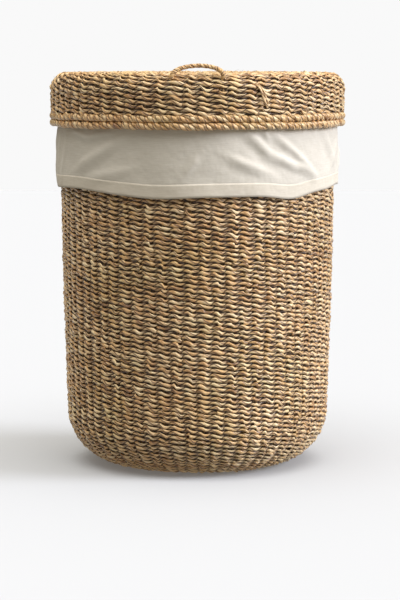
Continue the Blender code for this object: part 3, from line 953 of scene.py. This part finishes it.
# Inside, slack hangs in shallow folds away from the wall.
INSIDE = CUFF_ROWS + 12  # the first row that hangs free of the rim
into = np.clip(np.arange(len(cloth_r) - INSIDE) / 8, 0, 1)[:, None]
folds = np.sin(9 * from_front + 1.3)
folds = folds + np.sin(14 * from_front + 6 * cloth_length[INSIDE:, None])
near_seam = np.clip(np.arange(len(into))[::-1] / 8, 0, 1)[:, None]
grid_r[INSIDE:] -= 1.1 * MM * (2 + folds) * into * near_seam
print(f"creases rise {push.max() / MM:.1f} mm; the edge moves {np.ptp(edge_lift) / MM:.0f} mm")

# %% Liner mesh
def thicken(item):
    """Gives a cloth surface its thickness, and lets it ride on the liner."""
    shell = item.modifiers.new("cloth", "SOLIDIFY")
    shell.thickness = CLOTH
    shell.offset = 1.0
    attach(item, "liner")


def cloth_piece(name, radius, height, length, material):
    """Cloth round the basket, from rows of radii and heights; length is along the cloth."""
    rows = len(length)
    points = polar(radius, cloth_angle, height).reshape(-1, 3)
    quads = grid_faces(rows, COLUMNS, wrap_columns=True)[:, ::-1]
    item = mesh_piece(name, points, quads, [], material)
    column = np.tile(np.arange(COLUMNS), rows - 1)
    row = np.repeat(np.arange(rows - 1), COLUMNS)
    # The faces are turned over, so each one's corners start at its next column.
    u = np.stack([column + 1, column + 1, column, column], axis=-1) / COLUMNS
    v = np.stack([row, row + 1, row + 1, row], axis=-1)
    corner_map(item, "cloth", np.stack([u * TURN * CUFF_INNER, length[v]], axis=-1).reshape(-1, 2))
    corner_map(item, "OFBake", np.stack([u, v / (rows - 1)], axis=-1).reshape(-1, 2))
    thicken(item)
    return item


HEM_ROWS = 8  # the cuff's lowest rows, which the hem's fold covers
BAG_START = HEM_ROWS - 4  # the bag reaches down between the hem's two layers
bag_r, bag_z, bag_length = grid_r[BAG_START:].copy(), grid_z[BAG_START:], cloth_length[BAG_START:]
bag_r[: HEM_ROWS - 1 - BAG_START] -= 0.45 * MM  # about the middle of the hem
liner = cloth_piece("liner_bag", bag_r, bag_z, bag_length, cotton)
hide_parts("liner_tube", "liner_side_seam")

# %% [markdown]
# The hem is the cloth's lower edge turned up behind itself. Its surface starts at the top of the
# back layer, goes down and round the edge, and comes up the face. Two layers let less light
# through, so the band looks warmer.

# %% Hem and stitches
HEM_GAP = 1.0 * MM  # from the hem's face to its back layer
hem_z = np.concatenate([grid_z[:HEM_ROWS][::-1], grid_z[:HEM_ROWS]])
hem_r = np.concatenate([(grid_r[:HEM_ROWS] - HEM_GAP)[::-1], grid_r[:HEM_ROWS]])
hem_steps = np.hypot(np.diff(hem_r[:, 0]), np.diff(hem_z[:, 0]))
hem_length = np.concatenate([[0], np.cumsum(hem_steps)])
hem = cloth_piece("liner_hem_fold", hem_r, hem_z, hem_length, cotton_hem)
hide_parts("liner_hem")

STITCHES = 380
THREAD = 0.2 * MM  # radius of the thread
RINGS = SIDES = 5  # of one stitch, which has few faces because there are hundreds
half_stitch = 0.36  # as a share of the space between two
step = np.linspace(-half_stitch, half_stitch, RINGS)
thread_turn = (np.arange(STITCHES)[:, None] * TURN / STITCHES + step * TURN / STITCHES).ravel()
line_r, line_z = grid_r[HEM_ROWS - 2], grid_z[HEM_ROWS - 2]
wrapped = np.mod(thread_turn - cloth_angle[0], TURN) + cloth_angle[0]
line_angle = np.append(cloth_angle, cloth_angle[0] + TURN)
dip = 0.2 * MM * np.abs(step / half_stitch) ** 4  # a stitch's ends go into the cloth
thread_r = np.interp(wrapped, line_angle, np.append(line_r, line_r[0]))
thread_r = thread_r + np.tile(CLOTH - 0.02 * MM - dip, STITCHES)
thread_z = np.interp(wrapped, line_angle, np.append(line_z, line_z[0]))
side = np.linspace(0, TURN, SIDES, endpoint=False)
ring_r = thread_r[:, None] + THREAD * np.cos(side)
ring_z = thread_z[:, None] + THREAD * np.sin(side)
rings = polar(ring_r, thread_turn[:, None], ring_z).reshape(-1, 3)
thread = grained_material("cotton_thread", (0.70, 0.67, 0.60), (0.84, 0.81, 0.74))
stitches = mesh_piece("hem_stitches", rings, *many_tubes(STITCHES, RINGS, SIDES), thread)
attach(stitches, "liner")
print(STITCHES, "stitches in the hem")

# %% Liner base
base_low, base_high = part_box("liner_base")
DISC_ROWS, DISC_COLUMNS = 30, 96
disc_rows = np.linspace(0.002, base_high[0], DISC_ROWS)[:, None]
disc_angle = np.linspace(0, TURN, DISC_COLUMNS, endpoint=False)
disc = polar(disc_rows, disc_angle, base_low[2]).reshape(-1, 3)
disc_quads = grid_faces(DISC_ROWS, DISC_COLUMNS, wrap_columns=True)
middle_cap = np.arange(DISC_COLUMNS)
liner_base = mesh_piece("liner_base_panel", disc, disc_quads, [middle_cap], cotton)
disc_map = disc[np.concatenate([disc_quads.ravel(), middle_cap])][:, :2]
corner_map(liner_base, "cloth", disc_map)
corner_map(liner_base, "OFBake", 0.5 + disc_map / (2.02 * base_high[0]))
thicken(liner_base)
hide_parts("liner_base")

# %% [markdown]
# ## Loose ends
#
# Hand-twisted seagrass is hairy: fibre ends stand off the weave and catch the light. Each is a
# thin tapered tube that starts on a float. Two loose strands also lie across the lid's skirt, to
# the right of the loop, with both ends tucked into the weave.

# %% Loose fibres
FIBRE_RINGS, FIBRE_SIDES = 5, 4


def loose_fibres(name, outline, low, high, count, body):
    """Tapered fibres at seeded places between two distances along an outline.

    A fibre's middle line is its start + length x t along the weave + curl x t squared outwards,
    for t from 0 to 1, and its half width falls from 0.25 mm to a third of that.
    """
    angle, distance = random.uniform(0, TURN, count), random.uniform(low, high, count)
    radius, height, normal_r, normal_z = outline.at(distance)
    out = polar(normal_r, angle, normal_z)
    sideways = np.stack([-np.sin(angle), np.cos(angle), 0 * angle], axis=-1)
    across = np.cross(out, sideways)
    start = polar(radius, angle, height) + 2.6 * MM * out
    slope = random.normal(size=(2, count, 1)) * 0.45
    way = unit(sideways * np.sign(random.normal(size=(count, 1))) + slope[0] * across + 0.22 * out)
    length = random.uniform(5, 12, (count, 1, 1)) * MM
    t = np.linspace(0, 1, FIBRE_RINGS)[:, None]
    curl = random.uniform(0.2, 1.6, (count, 1, 1)) * MM
    bend = curl * t**2 * (out + slope[1] * across)[:, None]
    middle = start[:, None] + length * t * way[:, None] + bend
    turn = np.arange(FIBRE_SIDES) * TURN / FIBRE_SIDES
    wide = unit(np.cross(way, out))[:, None, None]
    deep = np.cross(way, unit(np.cross(way, out)))[:, None, None]
    half = 0.25 * MM * (1 - 0.67 * t)[None, :, :, None]
    around = np.cos(turn)[:, None] * wide + np.sin(turn)[:, None] * deep
    rings = middle[:, :, None] + half * around

    size = FIBRE_RINGS * FIBRE_SIDES
    quads, caps = many_tubes(count, FIBRE_RINGS, FIBRE_SIDES)
    item = mesh_piece(name, rings.reshape(-1, 3), quads, caps, seagrass)
    point_value(item, "tone", np.repeat(random.uniform(0.6, 1.1, count), size))
    point_value(item, "depth", np.ones(count * size))
    corner = np.concatenate([quads.ravel()] + caps)
    share = corner % size / size
    corner_map(item, "strand", np.stack([share * 0.01, share], axis=-1))
    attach(item, body)
    print(f"{name}: {count} fibres")


CORNER, UNDER_CUFF = 0.09, 0.12  # no fibres near the floor or under the cloth
low, high = base_edge + CORNER, basket_end - UNDER_CUFF
loose_fibres("loose_fibres_basket", basket_middle, low, high, 300, "basket")
loose_fibres("loose_fibres_lid", lid_middle, 0.02, lid_end, 150, "lid")

# %% Loose strands on the lid's skirt
STRAY_SAMPLES = 40
# Each strand: mm right of the front and below the lid's top, at its start and at its end.
STRAYS = ((77, 12, 95, 44), (82, 15, 97, 40))
lid_drop, lid_reach = LID_TOP - lid_middle.height[60:], lid_middle.radius[60:]
for number, (from_x, from_z, to_x, to_z) in enumerate(STRAYS, 1):
    t = np.linspace(0, 1, STRAY_SAMPLES)
    turn_x = FRONT + (from_x + (to_x - from_x) * t + 1.2 * np.sin(6 * t)) * MM / LID_RADIUS
    drop = (from_z + (to_z - from_z) * t) * MM
    stray_r = np.interp(drop, lid_drop, lid_reach) + 4.3 * MM
    stray_r -= 3.4 * MM * np.abs(2 * t - 1) ** 6  # both ends go down into the weave
    stray = polar(stray_r, turn_x, LID_TOP - drop)
    side = polar(1, turn_x, 0)
    up = unit(np.cross(np.gradient(stray, axis=0), side))
    rings, depth = rope_ply(stray, side, up, 0, 0, 0.0, 1.0 * MM, 1.5 * MM, closed=False, sides=8)
    along, tone = np.linspace(0, 0.04, STRAY_SAMPLES), np.full(STRAY_SAMPLES, 0.75)
    item = tube_piece(f"stray_strand_{number}", rings, along, tone, depth, seagrass)
    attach(item, "lid")
print("two loose strands on the lid")

# %% Floor
FLOOR_HALF, FLOOR_Z = 6, -0.0002  # just under the base, so that the two don't share a plane
corners = [(-1, -1), (1, -1), (1, 1), (-1, 1)]
floor_points = np.array([(FLOOR_HALF * x, FLOOR_HALF * y, FLOOR_Z) for x, y in corners])
floor_material, nodes, links, shader = new_material("floor_paper")
wire(links, shader, {"Base Color": (0.507, 0.536, 0.604, 1), "Roughness": 0.9})
wire(links, shader, {"Specular IOR Level": 0.0})
wire(links, shader, {"Emission Color": (0.10, 0.10, 0.10, 1), "Emission Strength": 1.0})
floor = mesh_piece("floor", floor_points, np.array([[0, 1, 2, 3]]), [], floor_material)
floor.visible_diffuse = False  # the room gradient already holds the light off the floor
